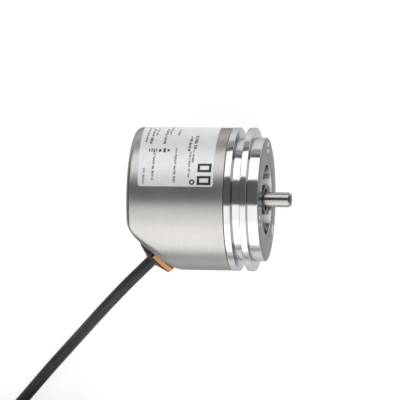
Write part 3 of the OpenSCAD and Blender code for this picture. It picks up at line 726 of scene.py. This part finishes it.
def cap_rows(R, x0, s, k1, k2, nphi, nt, x_split=-26.0):
    """Rows of points from the straight side, round the edges, to the pole of the rear face."""
    phi = np.linspace(0, 2 * np.pi, nphi, endpoint=False)
    rows = []
    for t in np.linspace(0, np.pi / 2, nt + 1)[:-1]:
        lo, hi = np.zeros(nphi), np.full(nphi, 60.0)
        for _ in range(40):
            mid = (lo + hi) / 2
            x, r = x_split - mid * math.sin(t), mid * math.cos(t)
            g = smax(smax(r - R, x0 - x, k1), (s - (x + r * np.cos(phi))) / math.sqrt(2), k2)
            hi = np.where(g > 0, mid, hi)
            lo = np.where(g > 0, lo, mid)
        rows.append(np.stack([x_split - lo * math.sin(t), lo * math.cos(t) * np.cos(phi), lo * math.cos(t) * np.sin(phi)], 1))
    return rows


NP = 320
phi = np.linspace(0, 2 * np.pi, NP, endpoint=False)


def ring_row(x, r):
    return np.stack([np.full(NP, float(x)), r * np.cos(phi), r * np.sin(phi)], 1)


outer = [ring_row(CAP_X1, CAP_R - 0.22), ring_row(CAP_X1 - 0.07, CAP_R - 0.07), ring_row(CAP_X1 - 0.22, CAP_R)] + \
    [ring_row(x, CAP_R) for x in (-11, -14, -17, -20, -23)] + cap_rows(CAP_R, CAP_X0, CAP_S, 2.9, 3.2, NP, 200)
inner = [ring_row(CAP_X1, CAP_R - CAP_T)] + [ring_row(x, CAP_R - CAP_T) for x in (-12, -18, -23)] + \
    cap_rows(CAP_R - CAP_T, CAP_X0 + CAP_T, CAP_S + CAP_T * math.sqrt(2), 1.2, 1.6, NP, 110)
rows = outer[::-1] + inner
V = np.concatenate([[[CAP_X0, 0, 0]]] + rows + [[[CAP_X0 + CAP_T, 0, 0]]])
F = []
for i in range(len(rows) - 1):
    b0, b1 = 1 + i * NP, 1 + (i + 1) * NP
    for k in range(NP):
        F.append([b0 + k, b0 + (k + 1) % NP, b1 + (k + 1) % NP, b1 + k])
end = 1 + len(rows) * NP
for k in range(NP):
    F.append([0, 1 + (k + 1) % NP, 1 + k])
    F.append([end, end - NP + k, end - NP + (k + 1) % NP])
housing = make("housing_shell", [tuple(v) for v in V], F, ["housing"], "housing", ["housing_cap"], "housing_metal", sharp=50)

# gland: orange seal and black strain relief on the slanted corner
GLAND = frame_of((-39.65, -22.25, 0), (-1, -1, 0))
cut(housing, [temp(*lathe([(0, -6), (6.2, -6), (6.2, 6), (0, 6)], 64, GLAND, closed=False))], 50)


def sector(profile, a0, a1, n, frame_m):
    """A closed outline swept from angle a0 to a1 (degrees) about the local X axis, with its two end faces."""
    m = len(profile)
    v, f = [], []
    for i in range(n + 1):
        a = math.radians(a0 + (a1 - a0) * i / n)
        v += [tuple(frame_m @ Vector((x, r * math.cos(a), r * math.sin(a)))) for r, x in profile]
    for i in range(n):
        for k in range(m):
            f.append([i * m + k, i * m + (k + 1) % m, (i + 1) * m + (k + 1) % m, (i + 1) * m + k])
    f += [list(range(m))[::-1], [n * m + k for k in range(m)]]
    return v, f


seal = make("orange_seal", *add([
    lathe(fillet([(4, -3.3), (7.2, -3.3, 0.3), (7.2, -1.55, 0.1), (6.15, -1.55), (6.15, 0.02), (6.3, 0.02), (6.3, 1.88), (4, 1.88)], 5), 128, GLAND),
    sector(fillet([(6.28, 0.02), (8.7, 0.02, 0.12), (8.7, 1.88, 0.45), (6.28, 1.88)], 5), -87.3, 87.3, 72, GLAND),
]), ["orange"], "housing", ["gland_seal"], "orange_seal")
relief = make("cable_relief", *add([
    lathe(fillet([(2.4, -6), (3.95, -6, 0.2), (3.95, 1.9), (8.35, 1.9, 0.1), (8.35, 2.42, 0.28), (3.35, 4.02, 0.5), (3.0, 4.2, 0.15), (2.4, 4.2)], 5), 128, GLAND),
    sector(fillet([(6.32, 0.04), (8.7, 0.04, 0.12), (8.7, 1.98, 0.45), (6.32, 1.98)], 5), 93.1, 266.9, 72, GLAND),
]), ["relief"], "housing", ["strain_relief"], "black_rubber")

# ---------------------------------------------------------------- shaft
shaft = make("shaft_turned", *lathe(fillet([(0, -28), (3.6, -28), (4, -27.6), (4, -5.52), (3.7, -5.52), (3.7, -4.98), (4, -4.98), (4, 2.6), (3.6, 3),
    (3, 3, 0.12), (3, 13.2, 0.35), (2.3, 14.2, 0.3), (0, 14.2)], 4), 128, closed=False), ["shaft", "shaft_end"], "rotor", ["shaft"], "shaft_steel", sharp=28)
# painted shade: the end face gets the near-black copy of the shaft steel
for poly in shaft.data.polygons:
    poly.material_index = 1 if poly.normal.x > 0.9 and poly.center.x > 10 * MM else 0

# ---------------------------------------------------------------- label and its print
LR = 28.81


def patch(x0, x1, a0, a1, r0, r1, step=1.5, corner=0.0):
    """A curved slab on the housing: along x0..x1 mm, round a0..a1 degrees (0 is +Z, 90 is +Y)."""
    na = max(1, int(math.ceil((a1 - a0) / step)))
    nx = 1 if corner == 0 else 2
    v, f = [], []
    cols = []
    for i in range(na + 1):
        a = math.radians(a0 + (a1 - a0) * i / na)
        ends = min(a - math.radians(a0), math.radians(a1) - a) * r0
        inset = 0.0
        if corner and ends < corner:
            inset = corner - math.sqrt(max(0, corner ** 2 - (corner - ends) ** 2))
        for r in (r0, r1):
            for x in (x0 + inset, x1 - inset):
                v.append((x, r * math.sin(a), r * math.cos(a)))
        cols.append(4 * i)
    for c0, c1 in zip(cols, cols[1:]):
        f += [[c0, c0 + 1, c1 + 1, c1], [c0 + 2, c1 + 2, c1 + 3, c0 + 3], [c0, c1, c1 + 2, c0 + 2], [c0 + 1, c0 + 3, c1 + 3, c1 + 1]]
    f += [[cols[0], cols[0] + 2, cols[0] + 3, cols[0] + 1], [cols[-1], cols[-1] + 1, cols[-1] + 3, cols[-1] + 2]]
    return v, f


def rounded_label():
    """The label sheet, its corners rounded, as a curved slab."""
    c = 1.2
    angs = []
    a0, a1 = 9.5, 165.0
    arc = math.degrees(c / LR)
    for k in range(9):
        angs.append(a0 + arc * (1 - math.cos(math.pi / 2 * k / 8)))
    angs += list(np.linspace(a0 + arc, a1 - arc, 90))[1:-1]
    for k in range(8, -1, -1):
        angs.append(a1 - arc * (1 - math.cos(math.pi / 2 * k / 8)))
    v, f = [], []
    for a in angs:
        ends = min(a - a0, a1 - a) * math.pi / 180 * LR
        inset = c - math.sqrt(max(0, c * c - (c - ends) ** 2)) if ends < c else 0.0
        for r in (LR, 28.92):
            lean = min(1.0, (a - a0) / 75)
            for x in (-43.65 + inset - 1.35 * lean, -13.3 - inset - 0.55 * lean):
                v.append((x, r * math.sin(math.radians(a)), r * math.cos(math.radians(a))))
    n = len(angs)
    for i in range(n - 1):
        c0, c1 = 4 * i, 4 * i + 4
        f += [[c0, c0 + 1, c1 + 1, c1], [c0 + 2, c1 + 2, c1 + 3, c0 + 3], [c0, c1, c1 + 2, c0 + 2], [c0 + 1, c0 + 3, c1 + 3, c1 + 1]]
    e = 4 * (n - 1)
    f += [[0, 2, 3, 1], [e, e + 1, e + 3, e + 2]]
    return v, f


label = make("label_sheet", *rounded_label(), ["label"], "housing", ["rating_label"], "label_foil")
I0, I1 = 28.90, 28.935
dark, mid, pale = [], [], []


def column(to, x, height, a0, a1, pitch=1.15, word=(3, 8), seed=1):
    """Greeked print: fine strokes one after another round the housing, in word-long groups, that read as no letters."""
    rng = np.random.default_rng(seed)
    a, left = a0, int(rng.integers(*word))
    while a < a1:
        w = rng.uniform(0.42, 0.8) * pitch
        h = height * rng.uniform(0.55, 1.0)
        x0 = x - height / 2 + (height - h) * rng.uniform(0, 1)
        to.append(patch(x0, x0 + h, a, min(a + w, a1 + 0.3), I0, I1, step=3))
        if rng.uniform() < 0.35 and h < height * 0.8:
            to.append(patch(x - height / 2, x - height / 2 + 0.16, a, a + w * 1.3, I0, I1, step=3))
        a += pitch
        left -= 1
        if left == 0:
            a += pitch * 0.9
            left = int(rng.integers(*word))


# the print's layout: lines that run round the housing
column(pale, -41.5, 0.9, 11, 24, seed=2)
column(mid, -37.9, 1.0, 14.5, 40, seed=3)
column(mid, -42.1, 0.9, 51, 78, seed=4)
column(dark, -40.0, 1.15, 49, 73.5, pitch=1.5, seed=5)
column(mid, -38.5, 0.8, 60, 77, seed=6)
column(dark, -34.6, 1.2, 49, 74, pitch=1.5, seed=7)
column(mid, -33.1, 0.8, 62, 84, seed=17)
column(mid, -29.6, 1.0, 61, 74, pitch=1.4, seed=8)
column(mid, -29.1, 0.95, 12.5, 30, seed=9)
column(mid, -29.2, 0.9, 31, 44, seed=10)
column(mid, -23.3, 1.0, 17, 40, seed=11)
column(dark, -24.0, 1.25, 41, 60, pitch=1.7, seed=12)
column(mid, -22.1, 0.8, 30, 42, seed=13)
column(dark, -21.8, 1.35, 43, 60, pitch=1.7, seed=14)
for i, (x, w) in enumerate([(-40.4, 0.55), (-39.4, 0.5), (-38.5, 0.6), (-37.5, 0.5), (-36.3, 0.9), (-34.5, 0.9), (-32.9, 0.8)]):
    (dark if w > 0.7 else mid).append(patch(x, x + w, 40.4 - (i % 3) * 0.5, 42.8 + (i % 2) * 0.9, I0, I1))
for a in (95, 104, 113, 122, 131, 140, 149):  # the far side carries a plain table of lines
    column(mid, -40.5 + (a % 3), 0.8, a, a + 7, seed=int(a))
    column(pale, -30.5 - (a % 4) * 0.4, 0.8, a, a + 6.5, seed=int(a) + 1)
    column(mid, -21.5 + (a % 2), 0.8, a, a + 7, seed=int(a) + 2)


def frame_mark(x0, x1, a0, a1, w):
    """A bold plain square outline: a generic mark."""
    wa = math.degrees(w / 28.9)
    dark.append(patch(x0, x1, a1 - wa, a1, I0, I1, corner=0.0))
    dark.append(patch(x0, x1, a0, a0 + wa, I0, I1))
    dark.append(patch(x0, x0 + w, a0 + wa, a1 - wa, I0, I1))
    dark.append(patch(x1 - w, x1, a0 + wa, a1 - wa, I0, I1))


frame_mark(-19.9, -14.3, 21.4, 28.9, 1.0)
frame_mark(-19.9, -14.3, 10.8, 18.2, 1.0)
# a small round mark
ringv, ringf = [], []
n = 40
for k in range(n):
    t = 2 * math.pi * k / n
    for rad in (0.45, 1.15):
        for r in (I0, I1):
            a = math.radians(13.1) + rad * math.sin(t) / 28.9
            ringv.append((-21.9 + rad * math.cos(t), r * math.sin(a), r * math.cos(a)))
for k in range(n):
    a, b = 4 * k, 4 * ((k + 1) % n)
    ringf += [[a, a + 2, b + 2, b], [a + 1, b + 1, b + 3, a + 3], [a, b, b + 1, a + 1], [a + 2, a + 3, b + 3, b + 2]]
mid.append((ringv, ringf))
for nm, parts, mt in (("print_dark", dark, "ink"), ("print_mid", mid, "ink_mid"), ("print_pale", pale, "ink_pale")):
    make(nm, *add(parts), [mt], "housing", slot="label_foil")

# ---------------------------------------------------------------- the CAD pieces that stay: finishes
KEEP = {
    "housing_o_ring": "rubber", "shaft_seal": "rubber", "seal_spring": "bright", "front_outer_ring": "bearing", "front_shields": "bright",
    "rear_outer_ring": "bearing", "rear_shields": "bright", "outer_spacer": "bright", "wave_spring": "spring", "retaining_ring": "spring",
    "emitter_bracket": "black_plastic", "bracket_screws": "screw", "led": "clear", "condenser_lens": "clear", "reticle": "glass", "detector_chip": "chip",
    "sensor_board": "board", "output_board": "board", "board_posts": "brass", "board_spacers": "white_plastic", "board_screws": "screw",
    "driver_chip": "chip", "signal_chip": "chip", "capacitors": "cap", "board_header": "chip", "header_pins": "gold", "wire_socket": "white_plastic",
    "wires": "wire", "gland_nut": "brass", "shaft_snap_ring": "spring", "front_inner_ring": "bearing", "rear_inner_ring": "bearing",
    "inner_spacer": "bright", "disc_hub": "brass", "hub_screw": "spring", "code_disc": "glass", "code_track": "track", "front_cage": "brass",
    "front_balls": "bearing", "rear_cage": "brass", "rear_balls": "bearing", "plug_insert": "chip", "plug_pins": "gold", "plug_o_ring": "rubber",
}
for nm, mt in KEEP.items():
    me = nodes[nm].data
    me.materials.clear()
    me.materials.append(M[mt])

# ---------------------------------------------------------------- floor and light
floor_me = bpy.data.meshes.new("floor")
floor_me.from_pydata([(-3, -3, -0.029), (3, -3, -0.029), (3, 3, -0.029), (-3, 3, -0.029)], [], [(0, 1, 2, 3)])
floor = bpy.data.objects.new("floor", floor_me)
scene.collection.objects.link(floor)
g = Tree("m_floor")
# painted light: the floor glows (emission) in a bright pool round the object that falls off to plain pale grey, so the
# object's shadows wash out
pc = g.add("ShaderNodeSeparateXYZ", Vector=g.add("ShaderNodeTexCoord").outputs["Object"])
dx = g.math("POWER", g.math("ABSOLUTE", g.math("ADD", pc.outputs[0], 0.029)), 4.0)
dy = g.math("POWER", g.math("ABSOLUTE", g.math("ADD", pc.outputs[1], -0.02)), 4.0)
dd = g.math("POWER", g.math("ADD", dx, dy), 0.25)
painted_floor_glow = g.add("ShaderNodeMapRange", p_interpolation_type="SMOOTHSTEP", Value=dd, i1=0.101, i2=0.195, i3=0.80, i4=0.14).outputs[0]
# painted light: the floor glows pale again in a strip in front
far = g.add("ShaderNodeMapRange", p_interpolation_type="SMOOTHSTEP", Value=pc.outputs[1], i1=-0.30, i2=-0.13, i3=0.55, i4=0.0).outputs[0]
painted_floor_glow = g.math("MAXIMUM", painted_floor_glow, far)
g.b.inputs["Emission Color"].default_value = (1, 1, 1, 1)
g.put(g.b, "Emission_Strength", painted_floor_glow)
g.b.inputs["Specular IOR Level"].default_value = 0.0
floor_me.materials.append(g.out(Base_Color=(0.32, 0.32, 0.32), Roughness=0.9))

world = bpy.data.worlds.new("world")
scene.world = world
world.use_nodes = True
bg = next(n for n in world.node_tree.nodes if n.type == "BACKGROUND")
bg.inputs["Color"].default_value = (0.94, 0.97, 1.0, 1)
bg.inputs["Strength"].default_value = 0.14


def softbox(name, lo, hi, dist, along, radiance, colour, x_shift=0.0):
    """An area light that spans the angles lo..hi (degrees from +Z towards +Y), dist metres from the shaft axis, along X."""
    m = math.radians((lo + hi) / 2)
    half = math.radians((hi - lo) / 2)
    width = 2 * dist * math.tan(half)
    d = Vector((0, math.sin(m), math.cos(m)))
    L = bpy.data.lights.new(name, "AREA")
    L.shape = "RECTANGLE"
    L.size, L.size_y = along, width
    L.energy = radiance * math.pi * along * width
    L.color = colour
    o = bpy.data.objects.new(name, L)
    scene.collection.objects.link(o)
    z = d
    x = Vector((1, 0, 0))
    y = z.cross(x)
    p = d * dist + Vector((x_shift, 0, 0))
    o.matrix_world = Matrix(((x.x, y.x, z.x, p.x), (x.y, y.y, z.y, p.y), (x.z, y.z, z.z, p.z), (0, 0, 0, 1)))
    o.visible_camera = False
    return o


softbox("softbox_top", 36, 82.5, 1.1, 2.2, 1.6, (1.0, 0.995, 0.985))
softbox("softbox_low", -92, -42, 1.0, 2.4, 1.8, (1.0, 0.985, 0.965))
softbox("softbox_mid", -42, -10.5, 1.0, 2.4, 1.36, (1.0, 0.985, 0.965))
